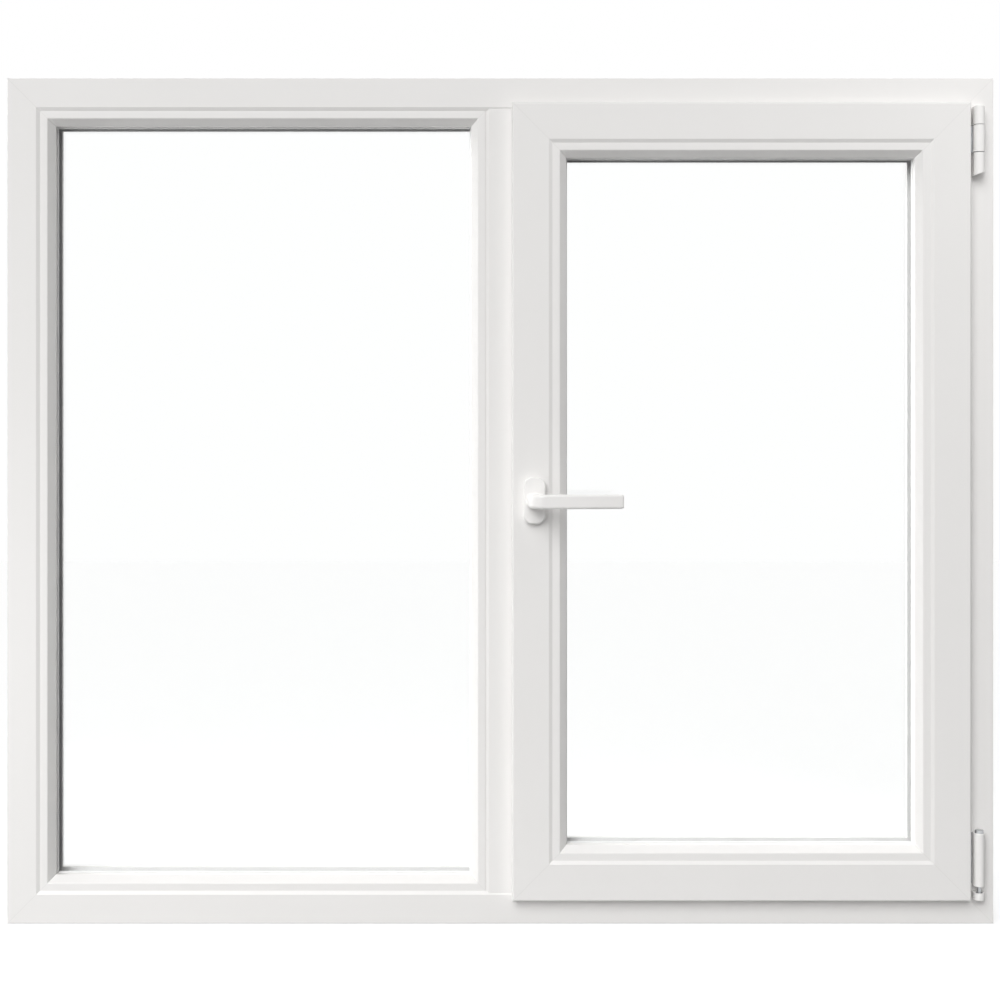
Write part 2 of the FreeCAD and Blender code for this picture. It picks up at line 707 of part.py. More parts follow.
def cam(side, along):
    """A mushroom-headed locking stud that stands out of the face plate."""
    place = edge_place(side, inset(SASH_BODY, GROOVE_STEP - PLATE_THICKNESS))
    profile = [
        (0.0, 0.0),
        (CAM_STEM, 0.0),
        (CAM_STEM, CAM_HEAD_START),
        (CAM_HEAD, CAM_HEAD_START),
        (CAM_HEAD, CAM_HEIGHT - CAM_CHAMFER),
        (CAM_HEAD - CAM_CHAMFER, CAM_HEIGHT),
        (0.0, CAM_HEIGHT),
    ]
    base = place(along, GROOVE_MIDDLE, 0)
    return turned(profile, base, place(along, GROOVE_MIDDLE, 1) - base)


def lock_hardware():
    """Face plates and cams in the sash's groove, and keeps in the frame beside each cam."""
    depth = (GROOVE_NEAR + CLIP_PLAY, GROOVE_FAR - CLIP_PLAY)
    step_floor = inset(SASH_BODY, GROOVE_STEP)
    arm_tip = HINGE_X - ARM_LENGTH - 2 * ARM_WIDTH
    runs = {
        "left": (SASH_BODY.bottom + PLATE_END, SASH_BODY.top - PLATE_END),
        "top": (SASH_BODY.left + PLATE_END, arm_tip),
        "bottom": (SASH_BODY.left + PLATE_END, SASH_BODY.right - PLATE_END),
    }
    studs = [
        ("left", runs["left"][0] + CAM_FROM_END),
        ("left", runs["left"][1] - CAM_FROM_END),
        ("top", runs["top"][0] + CAM_FROM_END),
        ("bottom", runs["bottom"][1] - CAM_FROM_END),
    ]
    plates = [
        plate_on(edge_place(side, step_floor), run, depth, PLATE_THICKNESS)
        for side, run in runs.items()
    ]
    return {
        "lock_face_plates": Part.makeCompound(plates),
        "lock_cams": Part.makeCompound([cam(side, along) for side, along in studs]),
        "lock_keeps": Part.makeCompound([keep(side, along + KEEP_OFFSET) for side, along in studs]),
    }


# Handle


def handle_rose():
    half_width, half_height = ROSE_WIDTH / 2, ROSE_HEIGHT / 2
    corners = [
        (HANDLE_X + x_sign * half_width, HANDLE_Z + z_sign * half_height, ROSE_CORNER)
        for x_sign, z_sign in ((-1, -1), (1, -1), (1, 1), (-1, 1))
    ]
    rose = prism(corners, lambda x, z: Vector(x, SASH_ROOM, z), Vector(0, -ROSE_THICKNESS, 0))
    rose = chamfer_rim(rose, "Y", ROSE_FRONT, ROSE_CHAMFER)
    socket = Part.makeCylinder(
        SPIGOT_RADIUS + SPIGOT_PLAY,
        SPIGOT_DEPTH + LEVER_GAP,
        Vector(HANDLE_X, ROSE_FRONT, HANDLE_Z),
        Vector(0, 1, 0),
    )
    return rose.cut(socket)


def lever_section(station):
    """A rounded rectangle across the lever at one station along its middle line."""
    centre, ahead, thickness, height, corner = station
    sideways = Vector(-ahead.y, ahead.x, 0)
    outline = [
        (x_sign * thickness / 2, z_sign * height / 2, corner)
        for x_sign, z_sign in ((-1, -1), (1, -1), (1, 1), (-1, 1))
    ]
    return wire_through(outline, lambda across, rise: centre + sideways * across + Vector(0, 0, rise))


def bend_stations(bar_y):
    """From the collar out of the rose, then round the bend while the neck thins to the bar."""
    base = Vector(HANDLE_X, ROSE_FRONT - LEVER_GAP - COLLAR_THICKNESS, HANDLE_Z)
    stations = [(base, Vector(0, -1, 0), NECK_WIDTH, LEVER_HEIGHT, NECK_CORNER)]
    for step in range(BEND_STEPS + 1):
        share = step / BEND_STEPS
        angle = share * math.pi / 2
        x = HANDLE_X + BEND_RADIUS * (1 - math.cos(angle))
        y = bar_y + BEND_RADIUS * (1 - math.sin(angle))
        ahead = Vector(math.sin(angle), -math.cos(angle), 0)
        thickness = NECK_WIDTH + share * (LEVER_THICKNESS - NECK_WIDTH)
        corner = NECK_CORNER + share * (LEVER_ROUND - NECK_CORNER)
        stations.append((Vector(x, y, HANDLE_Z), ahead, thickness, LEVER_HEIGHT, corner))
    return stations


def bar_stations(bar_y):
    """Along the bar, which curves back towards the sash and thins to its tip."""
    start = HANDLE_X + BEND_RADIUS
    length = LEVER_REACH - BEND_RADIUS - LEVER_END
    radius = (length**2 + LEVER_SWEEP**2) / (2 * LEVER_SWEEP)
    stations = []
    for step in range(1, BAR_STEPS + 1):
        share = step / BAR_STEPS
        angle = share * math.asin(length / radius)
        centre = Vector(start + radius * math.sin(angle), bar_y + radius * (1 - math.cos(angle)), HANDLE_Z)
        ahead = Vector(math.cos(angle), math.sin(angle), 0)
        thickness = LEVER_THICKNESS + share * (LEVER_TIP - LEVER_THICKNESS)
        stations.append((centre, ahead, thickness, LEVER_HEIGHT, LEVER_ROUND))
    return stations


def handle_lever():
    """Collar and spigot on the spindle's axis, and the bent lever with a rounded end."""
    bar_y = ROSE_FRONT - LEVER_STANDOFF - LEVER_THICKNESS / 2
    stations = bend_stations(bar_y) + bar_stations(bar_y)
    centre, ahead, thickness, height, corner = stations[-1]
    tip_centre = centre + ahead * LEVER_END
    tip = (tip_centre, ahead, thickness - LEVER_END, height - LEVER_END, corner - LEVER_END / 2)
    bar = Part.makeLoft([lever_section(station) for station in [*stations, tip]], True, True)
    outdoors = Vector(0, 1, 0)
    collar_end = ROSE_FRONT - LEVER_GAP
    collar_start = Vector(HANDLE_X, collar_end - COLLAR_THICKNESS, HANDLE_Z)
    collar = Part.makeCylinder(COLLAR_RADIUS, COLLAR_THICKNESS, collar_start, outdoors)
    spigot_start = Vector(HANDLE_X, collar_end, HANDLE_Z)
    spigot = Part.makeCylinder(SPIGOT_RADIUS, SPIGOT_DEPTH + LEVER_GAP, spigot_start, outdoors)
    return bar.fuse([collar, spigot]).removeSplitter()


def sash_stop_seal():
    """Seal on the frame's stops that the shut sash closes against."""
    return ring(stop_seal_section(STOP_FACE, FACE_GAP - SEAL_PLAY, 0.0), SASH_LIGHT)


def build():
    pieces = {}
    pieces.update(frame_members())
    pieces["mullion"] = mullion()
    pieces.update(glazing("fixed", FIXED_LIGHT, ROOM_FACE, STOP_FACE))
    pieces["sash_stop_seal"] = sash_stop_seal()
    pieces.update(sash_members())
    pieces.update(glazing("sash", SASH_GLAZING, SASH_ROOM, SASH_STOP_FACE))
    pieces["sash_flange_seal"] = flange_seal()
    pieces.update(top_hinge())
    pieces["stay_arm"] = stay_arm()
    pieces.update(bottom_hinge())
    pieces.update(lock_hardware())
    pieces["handle_rose"] = handle_rose()
    pieces["handle_lever"] = handle_lever()
    # The seals' roots end where the mullion's groove runs into the head and the sill
    cross_members = [pieces["frame_head"], pieces["frame_sill"]]
    for seal in ("fixed_outdoor_seal", "sash_stop_seal"):
        pieces[seal] = pieces[seal].cut(cross_members)
    return pieces


os.makedirs("parts", exist_ok=True)
for name, shape in build().items():
    shape.exportStep(f"parts/{name}.step")
    print(f"{name}: {len(shape.Solids)} solid(s), valid {shape.isValid()}, {shape.Volume / 1000:.1f} cm3")
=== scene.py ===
# %% [markdown]
# # A tilt and turn window
# The window has a fixed light on the left and, on the right, a sash that turns or tilts into
# the room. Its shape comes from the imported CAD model, which is loaded as a fixed frame.
# This lesson adds what the CAD leaves out: softened edges, finishes, screws, light and a camera.

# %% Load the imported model
import json
import math

import bmesh
import bpy
from mathutils import Matrix, Vector


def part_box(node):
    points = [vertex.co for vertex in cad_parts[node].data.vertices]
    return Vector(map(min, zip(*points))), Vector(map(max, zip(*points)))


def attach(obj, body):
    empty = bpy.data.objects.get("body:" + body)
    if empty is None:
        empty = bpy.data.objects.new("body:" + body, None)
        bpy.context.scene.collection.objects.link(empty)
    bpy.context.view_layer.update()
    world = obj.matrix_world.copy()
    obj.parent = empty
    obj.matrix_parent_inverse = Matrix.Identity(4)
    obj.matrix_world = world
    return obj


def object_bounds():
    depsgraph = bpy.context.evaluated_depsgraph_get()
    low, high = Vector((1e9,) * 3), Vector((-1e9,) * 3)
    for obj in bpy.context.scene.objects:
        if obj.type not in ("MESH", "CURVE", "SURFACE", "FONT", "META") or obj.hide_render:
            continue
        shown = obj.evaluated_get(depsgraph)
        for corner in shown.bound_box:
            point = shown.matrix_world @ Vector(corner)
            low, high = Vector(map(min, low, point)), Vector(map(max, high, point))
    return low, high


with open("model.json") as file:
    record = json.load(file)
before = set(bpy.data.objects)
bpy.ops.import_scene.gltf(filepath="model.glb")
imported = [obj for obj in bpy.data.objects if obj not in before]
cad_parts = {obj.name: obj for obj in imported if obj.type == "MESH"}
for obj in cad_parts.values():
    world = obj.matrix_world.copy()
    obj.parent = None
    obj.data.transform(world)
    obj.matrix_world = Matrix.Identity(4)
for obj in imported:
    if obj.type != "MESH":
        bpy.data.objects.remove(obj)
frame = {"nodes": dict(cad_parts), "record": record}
cad_low, cad_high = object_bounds()
nodes = frame["nodes"]
scene = bpy.context.scene
print("CAD box", [round(v, 4) for v in (*cad_low, *cad_high)], "nodes", len(nodes))

# %% [markdown]
# ## Camera
# The picture was taken from the room, square to the window, so uprights stay upright.
# A camera that is turned towards the middle would make them lean. Here the camera looks
# straight ahead, and the lens shift alone brings the window into the middle of the picture.
# The place of the lens axis was found from how far the sash stands in front of the frame.

# %% Camera
LENS_X, LENS_Z = -0.060, 0.727
CAMERA_DISTANCE = 2.5
LENS_MM = 63.4
SHIFT_X, SHIFT_Y = 0.042, -0.0885

room_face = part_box("frame_head")[0].y
camera_data = bpy.data.cameras.new("camera")
camera_data.lens = LENS_MM
camera_data.sensor_width = 36.0
camera_data.shift_x = SHIFT_X
camera_data.shift_y = SHIFT_Y
camera = bpy.data.objects.new("camera", camera_data)
camera.location = (LENS_X, room_face - CAMERA_DISTANCE, LENS_Z)
camera.rotation_euler = (math.radians(90), 0, 0)
scene.collection.objects.link(camera)
scene.camera = camera
print("camera at", [round(v, 3) for v in camera.location])

# %% [markdown]
# ## World
# Anything that looks straight at the world, or sees it in glass or gloss, sees plain white, as in
# a studio. All other light from the world is turned down to almost nothing, so the lamps alone
# shape the window.

# %% World
scene.view_settings.view_transform = "Standard"

WORLD_FILL = 0.02


def sees_background(tree):
    """A value that is one for rays from the camera, from gloss and through glass."""
    path = tree.nodes.new("ShaderNodeLightPath")
    seen = path.outputs["Is Camera Ray"]
    for ray in ("Is Glossy Ray", "Is Transmission Ray"):
        either = tree.nodes.new("ShaderNodeMath")
        either.operation = "MAXIMUM"
        tree.links.new(seen, either.inputs[0])
        tree.links.new(path.outputs[ray], either.inputs[1])
        seen = either.outputs[0]
    return seen


def spread_value(tree, factor, low, high):
    """A value that goes from low to high as the factor goes from nought to one."""
    spread = tree.nodes.new("ShaderNodeMapRange")
    spread.inputs["To Min"].default_value = low
    spread.inputs["To Max"].default_value = high
    tree.links.new(factor, spread.inputs["Value"])
    return spread.outputs["Result"]


world = bpy.data.worlds.new("studio")
world.use_nodes = True
scene.world = world
background = world.node_tree.nodes["Background"]
background.inputs["Color"].default_value = (1, 1, 1, 1)
world_strength = spread_value(world.node_tree, sees_background(world.node_tree), WORLD_FILL, 1.0)
world.node_tree.links.new(world_strength, background.inputs["Strength"])
print("world fill", WORLD_FILL)

# %% [markdown]
# ## Lamps
# One soft key light comes from far away, high on the left in front of the window. A distant
# light is even over the whole width, so both ends of the frame are as bright as its middle.
# Slopes that face up or left are bright, slopes that face down or right are darker, and the
# sash throws a short soft shadow to the right and down. Two weak lamps, low on the left and high
# on the right, make those corners a little brighter. A second distant light, weak and low, lights
# the outdoor side. Glass mirrors a distant light as a disc, so both discs are kept small enough
# not to show as a bright patch in the panes in this picture.

# %% Lamps
LAMP_DISTANCE = 6.0
# Degrees round to the left from straight in front, degrees up, strength, degrees across
DISTANT_LIGHTS = {
    "key": (20, 32, 2.48, 43),
    "outdoor_light": (135, 12, 1.7, 30),
}
# Place and size in metres, watts
NEAR_LAMPS = {
    "low_left_fill": ((-1.2, -1.0, 0.1), 0.8, 5.6),
    "high_right_fill": ((1.3, -0.6, 1.6), 0.6, 3.8),
}


def facing(direction):
    """The turn that makes a lamp shine along a direction."""
    return Vector(direction).to_track_quat("-Z", "Y").to_euler()


def add_lamp(name, kind, turn, place, **settings):
    """A lamp at a place, with the settings of its kind given by name."""
    data = bpy.data.lights.new(name, kind)
    for setting, value in settings.items():
        setattr(data, setting, value)
    lamp = bpy.data.objects.new(name, data)
    lamp.location = place
    lamp.rotation_euler = turn
    scene.collection.objects.link(lamp)


middle = (cad_low + cad_high) / 2
for name, (left, up, strength, spread) in DISTANT_LIGHTS.items():
    left, up = math.radians(left), math.radians(up)
    shine = Vector((math.sin(left) * math.cos(up), math.cos(left) * math.cos(up), -math.sin(up)))
    place = middle - shine * LAMP_DISTANCE
    add_lamp(name, "SUN", facing(shine), place, energy=strength, angle=math.radians(spread))
for name, (place, size, watts) in NEAR_LAMPS.items():
    add_lamp(name, "AREA", facing(middle - Vector(place)), place, energy=watts, size=size)

# %% [markdown]
# ## Floor
# The window stands on a plain pale floor that runs out of sight into the white. Seen by the
# camera the floor also glows, so it reaches white where the key falls on it and still darkens
# where the window keeps the key away.

# %% Floor
FLOOR_HALF = 6.0
FLOOR_GAP = 0.0005
FLOOR_TONE = 0.36
FLOOR_GLOW = 0.785

floor_mesh = bpy.data.meshes.new("floor")
signs = ((-1, -1), (1, -1), (1, 1), (-1, 1))
outline = [(x * FLOOR_HALF, y * FLOOR_HALF, -FLOOR_GAP) for x, y in signs]
floor_mesh.from_pydata(outline, [], [(0, 1, 2, 3)])
floor = bpy.data.objects.new("floor", floor_mesh)
scene.collection.objects.link(floor)

floor_finish = bpy.data.materials.new("pale_floor")
floor_finish.use_nodes = True
floor_shader = floor_finish.node_tree.nodes["Principled BSDF"]
floor_shader.inputs["Base Color"].default_value = (FLOOR_TONE, FLOOR_TONE, FLOOR_TONE, 1)
floor_shader.inputs["Roughness"].default_value = 1.0
floor_shader.inputs["Specular IOR Level"].default_value = 0.0
floor_shader.inputs["Emission Color"].default_value = (1, 1, 1, 1)
glow = spread_value(floor_finish.node_tree, sees_background(floor_finish.node_tree), 0.0, FLOOR_GLOW)
floor_finish.node_tree.links.new(glow, floor_shader.inputs["Emission Strength"])
floor_mesh.materials.append(floor_finish)
print("floor", FLOOR_HALF * 2, "m wide")

# %% [markdown]
# ## Building blocks for finishes
# Several finishes share the same small effects, so each effect is a node group with named
# sockets: it is drawn once, and every material that needs it places it with its own values.
# A few helpers keep the node code short: one adds a node, one does arithmetic, one starts a group.

# %% Helpers for nodes
def add_node(tree, kind, sockets=None, **settings):
    """A new node. Sockets are set to a value or linked from another node's output."""
    node = tree.nodes.new("ShaderNode" + kind)
    for setting, value in settings.items():
        setattr(node, setting, value)
    for socket, value in (sockets or {}).items():
        if isinstance(value, bpy.types.NodeSocket):
            tree.links.new(value, node.inputs[socket])
        else:
            node.inputs[socket].default_value = value
    return node


def calc(tree, operation, *terms):
    """The output of a Math node on numbers or other nodes' outputs."""
    return add_node(tree, "Math", dict(enumerate(terms)), operation=operation).outputs[0]


def start_group(name, inputs, outputs):
    """A node group with named sockets, its inner inputs, and the node that takes its outputs."""
    group = bpy.data.node_groups.new(name, "ShaderNodeTree")
    for label, kind, value in inputs:
        socket = group.interface.new_socket(label, in_out="INPUT", socket_type="NodeSocket" + kind)
        socket.default_value = value
    for label, kind in outputs:
        group.interface.new_socket(label, in_out="OUTPUT", socket_type="NodeSocket" + kind)
    taken = group.nodes.new("NodeGroupInput")
    given = group.nodes.new("NodeGroupOutput")
    return group, taken.outputs, given


def place_group(tree, group, **sockets):
    """The group placed in a material, with its inputs set by name."""
    node = tree.nodes.new("ShaderNodeGroup")
    node.node_tree = group
    for label, value in sockets.items():
        node.inputs[label.replace("_", " ")].default_value = value
    return node


print("node helpers ready")

# %% [markdown]
# ### Drawn lines
# A plastic profile is pressed hot through a steel die and rolled or drawn steel goes through
# rollers, and both leave fine lines along their length. A noise that is squeezed along one
# axis gives such lines. The squeeze is an input, so uprights and rails share the group.

# %% Group: drawn lines
drawn_lines, taken, given = start_group(
    "drawn_lines",
    [("Squeeze", "Vector", (1.0, 1.0, 0.004)), ("Fineness", "Float", 900.0)],
    [("Lines", "Float")],
)
place = add_node(drawn_lines, "TexCoord").outputs["Object"]
factors = {0: place, 1: taken["Squeeze"]}
squeezed = add_node(drawn_lines, "VectorMath", factors, operation="MULTIPLY").outputs[0]
sockets = {"Vector": squeezed, "Scale": taken["Fineness"], "Detail": 2.0}
noise = add_node(drawn_lines, "TexNoise", sockets)
drawn_lines.links.new(noise.outputs["Fac"], given.inputs["Lines"])
print("group", drawn_lines.name)

# %% [markdown]
# ### Cloud and grain
# No surface is quite even. Cloud is a slow drift over a hand's width, used for tone and gloss.
# Grain is the fine pebble of a moulded or coated surface, used for height.

# %% Group: cloud and grain
cloud_and_grain, taken, given = start_group(
    "cloud_and_grain",
    [("Cloud Scale", "Float", 6.0), ("Grain Scale", "Float", 900.0)],
    [("Cloud", "Float"), ("Grain", "Float")],
)
place = add_node(cloud_and_grain, "TexCoord").outputs["Object"]
for label, detail in (("Cloud", 3.0), ("Grain", 1.0)):
    sockets = {"Vector": place, "Scale": taken[label + " Scale"], "Detail": detail}
    noise = add_node(cloud_and_grain, "TexNoise", sockets)
    cloud_and_grain.links.new(noise.outputs["Fac"], given.inputs[label])
print("group", cloud_and_grain.name)

# %% [markdown]
# ### Corner seam
# Frame and sash corners are cut at 45 degrees and joined, which leaves a thin line from the
# outer to the inner corner. The line needs no drawing by hand: on it, a point is as far from
# the nearest upright side as from the nearest level side. Two folds give both distances for all
# four corners at once, and a limit keeps the line inside the corner.

# %% Group: corner seam
corner_seam, taken, given = start_group(
    "corner_seam",
    [(side, "Float", 0.0) for side in ("Left", "Right", "Bottom", "Top")] + [("Width", "Float", 0.0012)],
    [("Seam", "Float")],
)
place = add_node(corner_seam, "TexCoord").outputs["Object"]
axes = add_node(corner_seam, "SeparateXYZ", {0: place}).outputs
across = calc(
    corner_seam,
    "MINIMUM",
    calc(corner_seam, "SUBTRACT", axes["X"], taken["Left"]),
    calc(corner_seam, "SUBTRACT", taken["Right"], axes["X"]),
)
upward = calc(
    corner_seam,
    "MINIMUM",
    calc(corner_seam, "SUBTRACT", axes["Z"], taken["Bottom"]),
    calc(corner_seam, "SUBTRACT", taken["Top"], axes["Z"]),
)
CORNER_REACH = 0.1
off_line = calc(corner_seam, "ABSOLUTE", calc(corner_seam, "SUBTRACT", across, upward))
on_line = add_node(
    corner_seam,
    "MapRange",
    {"Value": off_line, "From Max": taken["Width"], "To Min": 1.0, "To Max": 0.0},
    interpolation_type="SMOOTHSTEP",
).outputs["Result"]
in_corner = calc(corner_seam, "LESS_THAN", across, CORNER_REACH)
corner_seam.links.new(calc(corner_seam, "MULTIPLY", on_line, in_corner), given.inputs["Seam"])
print("group", corner_seam.name)

# %% [markdown]
# ## Helpers for finishes
# Every finish starts from the same steps: a material with its shader, colours that blend by a
# factor, and a bump. As functions they leave each finish below a short list of what is special.

# %% Helpers for finishes
def new_finish(name):
    """A material, its tree and its Principled shader."""
    material = bpy.data.materials.new(name)
    material.use_nodes = True
    return material, material.node_tree, material.node_tree.nodes["Principled BSDF"]


def blend_colours(tree, factor, first, second):
    """A colour that goes from the first to the second as the factor goes from nought to one."""
    mix = add_node(tree, "Mix", data_type="RGBA")
    tree.links.new(factor, mix.inputs["Factor"])
    for label, colour in (("A", first), ("B", second)):
        socket = next(s for s in mix.inputs if s.name == label and s.type == "RGBA")
        if isinstance(colour, bpy.types.NodeSocket):
            tree.links.new(colour, socket)
        else:
            socket.default_value = colour
    return next(s for s in mix.outputs if s.type == "RGBA")


def bump(tree, shader, height, distance):
    """Relief too fine to model: where the height is one, the surface stands out by the distance."""
    node = add_node(tree, "Bump", {"Height": height, "Distance": distance, "Strength": 1.0})
    tree.links.new(node.outputs["Normal"], shader.inputs["Normal"])


def finish_node(name, material):
    """Give a CAD node one finish in place of its own."""
    nodes[name].data.materials.clear()
    nodes[name].data.materials.append(material)


print("finish helpers ready")

# %% [markdown]
# ## White profile
# Frame, mullion, sash and beads are white plastic with a satin gloss. A single white would look
# like paper: the real one has a slight drift in tone, gloss that varies with the drawn lines, and
# the corner seams, which are a little darker and sunk. One function makes the finish for any
# rectangle of profiles and for either direction of the lines.

# %% White profile finish
WHITE = (0.855, 0.843, 0.83, 1)
WHITE_SHADE = (0.835, 0.823, 0.808, 1)
SEAM_SHADE = (0.80, 0.788, 0.775, 1)
SEAM_DEPTH = 0.3
LINE_HEIGHT, GRAIN_HEIGHT = 0.04, 0.02
PROFILE_RELIEF = 0.0003
PROFILE_GLOSS = (0.36, 0.48)
UPRIGHT, LEVEL = (1.0, 1.0, 0.004), (0.004, 1.0, 1.0)


def white_profile(name, squeeze, corners=None):
    """White satin plastic with lines along the profile and, where corners are given, seams."""
    material, tree, shader = new_finish(name)
    even = place_group(tree, cloud_and_grain, Cloud_Scale=5.0, Grain_Scale=420.0)
    lines = place_group(tree, drawn_lines, Squeeze=squeeze, Fineness=700.0)
    tone = blend_colours(tree, even.outputs["Cloud"], WHITE_SHADE, WHITE)
    grain = calc(tree, "MULTIPLY", even.outputs["Grain"], GRAIN_HEIGHT)
    height = calc(tree, "MULTIPLY_ADD", lines.outputs["Lines"], LINE_HEIGHT, grain)
    if corners:
        left, right, bottom, top = corners
        seam = place_group(tree, corner_seam, Left=left, Right=right, Bottom=bottom, Top=top)
        tone = blend_colours(tree, seam.outputs["Seam"], tone, SEAM_SHADE)
        height = calc(tree, "MULTIPLY_ADD", seam.outputs["Seam"], -SEAM_DEPTH, height)
    tree.links.new(tone, shader.inputs["Base Color"])
    tree.links.new(spread_value(tree, lines.outputs["Lines"], *PROFILE_GLOSS), shader.inputs["Roughness"])
    bump(tree, shader, height, PROFILE_RELIEF)
    return material


def outline_of(*names):
    """Left, right, bottom and top of several nodes together."""
    boxes = [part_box(name) for name in names]
    low = [min(box[0][axis] for box in boxes) for axis in (0, 2)]
    high = [max(box[1][axis] for box in boxes) for axis in (0, 2)]
    return (low[0], high[0], low[1], high[1])


RINGS = {
    "frame": {
        "upright": ("frame_left_jamb", "frame_right_jamb"),
        "level": ("frame_sill", "frame_head"),
    },
    "sash": {
        "upright": ("sash_lock_stile", "sash_hinge_stile"),
        "level": ("sash_bottom_rail", "sash_top_rail"),
    },
    "fixed_bead": {
        "upright": ("fixed_left_bead", "fixed_right_bead"),
        "level": ("fixed_bottom_bead", "fixed_top_bead"),
    },
    "sash_bead": {
        "upright": ("sash_left_bead", "sash_right_bead"),
        "level": ("sash_bottom_bead", "sash_top_bead"),
    },
}
for ring, sides in RINGS.items():
    corners = outline_of(*sides["upright"], *sides["level"])
    for way, squeeze in (("upright", UPRIGHT), ("level", LEVEL)):
        finish = white_profile(f"white_{ring}_{way}", squeeze, corners)
        for name in sides[way]:
            finish_node(name, finish)
    print(ring, "seams from", [round(v, 4) for v in corners])
finish_node("mullion", white_profile("white_mullion", UPRIGHT))

# %% [markdown]
# ## Seals
# The seals are a soft light grey rubber, dull, with a faint bloom that is paler in patches and a
# fine skin. They are the only soft pieces, and they are pressed flat between hard ones, so their
# CAD shape stays.

# %% Seal finish
SEAL_GREY, SEAL_BLOOM = (0.80, 0.80, 0.795, 1), (0.87, 0.87, 0.865, 1)
SEAL_GLOSS = (0.62, 0.8)
SEAL_SPECULAR = 0.35
SEAL_SKIN = 0.00004
seal_finish, tree, shader = new_finish("light_grey_seal")
even = place_group(tree, cloud_and_grain, Cloud_Scale=40.0, Grain_Scale=2600.0)
tree.links.new(blend_colours(tree, even.outputs["Cloud"], SEAL_GREY, SEAL_BLOOM), shader.inputs["Base Color"])
tree.links.new(spread_value(tree, even.outputs["Grain"], *SEAL_GLOSS), shader.inputs["Roughness"])
shader.inputs["Specular IOR Level"].default_value = SEAL_SPECULAR
bump(tree, shader, even.outputs["Grain"], SEAL_SKIN)
seals = [name for name in nodes if "seal" in name]
for name in seals:
    finish_node(name, seal_finish)
print("seals", seals)

# %% [markdown]
# ## Glass
# Each light has two panes of clear float glass, modelled as real sheets, so the shader bends
# light as glass does. Lamps have to reach the frame through the panes, so a shadow ray passes
# straight through. Very faint wiping marks show only in reflections.

# %% Glass finish
GLASS_TINT = (0.996, 1.0, 0.998, 1)
GLASS_BENDING = 1.5
WIPING_MARKS = (0.0, 0.012)
glass_finish, tree, shader = new_finish("clear_float_glass")
shader.inputs["Base Color"].default_value = GLASS_TINT
shader.inputs["Transmission Weight"].default_value = 1.0
shader.inputs["IOR"].default_value = GLASS_BENDING
even = place_group(tree, cloud_and_grain, Cloud_Scale=3.0, Grain_Scale=60.0)
tree.links.new(spread_value(tree, even.outputs["Cloud"], *WIPING_MARKS), shader.inputs["Roughness"])
shadow = add_node(tree, "LightPath").outputs["Is Shadow Ray"]
passing = add_node(tree, "BsdfTransparent")
either = add_node(tree, "MixShader", {0: shadow, 1: shader.outputs[0], 2: passing.outputs[0]})
tree.links.new(either.outputs[0], tree.nodes["Material Output"].inputs["Surface"])
panes = [name for name in nodes if name.endswith("_pane")]
for name in panes:
    finish_node(name, glass_finish)
print("panes", panes)

# %% [markdown]
# ## Spacer bar
# Between the panes runs a bar of bent aluminium. Its inner side has a row of tiny holes, through
# which the drying beads inside take up damp. Holes of half a millimetre are too small to model on
# four metres of bar, so they are a mask: a dot at every step along the bar, on its middle line.
# Each dot is painted near black, as painted shade standing for the dark inside the hole, and the
# bump sinks it a little.

# %% Spacer finish
HOLE_STEP, HOLE_RADIUS = 0.003, 0.0005
# Near black of the holes: painted shade inside each hole, not a colour of the bar
HOLE_PAINTED_SHADE = (0.03, 0.03, 0.03, 1)
SPACER_DULL, SPACER_BRIGHT = (0.80, 0.805, 0.81, 1), (0.90, 0.905, 0.91, 1)
SPACER_METAL = 0.5
SPACER_GLOSS = (0.38, 0.55)
SPACER_RELIEF = 0.00003
spacer_finish, tree, shader = new_finish("spacer_aluminium")
coordinates = add_node(tree, "TexCoord")
axes = add_node(tree, "SeparateXYZ", {0: coordinates.outputs["Object"]}).outputs
turned = add_node(tree, "SeparateXYZ", {0: coordinates.outputs["Normal"]}).outputs
level_run = calc(tree, "GREATER_THAN", calc(tree, "ABSOLUTE", turned["Z"]), 0.5)
along = add_node(tree, "Mix", data_type="FLOAT")
tree.links.new(level_run, along.inputs["Factor"])
tree.links.new(axes["Z"], along.inputs["A"])
tree.links.new(axes["X"], along.inputs["B"])
steps = calc(tree, "DIVIDE", along.outputs[0], HOLE_STEP)
step_share = calc(tree, "SUBTRACT", calc(tree, "FRACT", steps), 0.5)
along_off = calc(tree, "MULTIPLY", step_share, HOLE_STEP)
along_square = calc(tree, "MULTIPLY", along_off, along_off)
holes = {}
for prefix in ("fixed", "sash"):
    low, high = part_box(f"{prefix}_pane_spacer")
    depth_off = calc(tree, "SUBTRACT", axes["Y"], (low.y + high.y) / 2)
    reach = calc(tree, "SQRT", calc(tree, "MULTIPLY_ADD", depth_off, depth_off, along_square))
    holes[prefix] = calc(tree, "LESS_THAN", reach, HOLE_RADIUS)
hole = calc(tree, "MAXIMUM", holes["fixed"], holes["sash"])
lines = place_group(tree, drawn_lines, Squeeze=(0.05, 1.0, 0.05), Fineness=900.0)
even = place_group(tree, cloud_and_grain, Cloud_Scale=25.0, Grain_Scale=900.0)
metal = blend_colours(tree, even.outputs["Cloud"], SPACER_DULL, SPACER_BRIGHT)
tree.links.new(blend_colours(tree, hole, metal, HOLE_PAINTED_SHADE), shader.inputs["Base Color"])
shader.inputs["Metallic"].default_value = SPACER_METAL
tree.links.new(spread_value(tree, lines.outputs["Lines"], *SPACER_GLOSS), shader.inputs["Roughness"])
bump(tree, shader, calc(tree, "SUBTRACT", lines.outputs["Lines"], hole), SPACER_RELIEF)
for prefix in holes:
    finish_node(f"{prefix}_pane_spacer", spacer_finish)
print("spacer holes every", HOLE_STEP * 1000, "mm")

# %% [markdown]
# ## Zinc plated steel
# Hinge pins, straps, the stay arm and the locking pieces are steel with a thin coat of zinc. It is
# brighter and duller in patches, because the coat grows unevenly, and lines from rolling show
# through it.

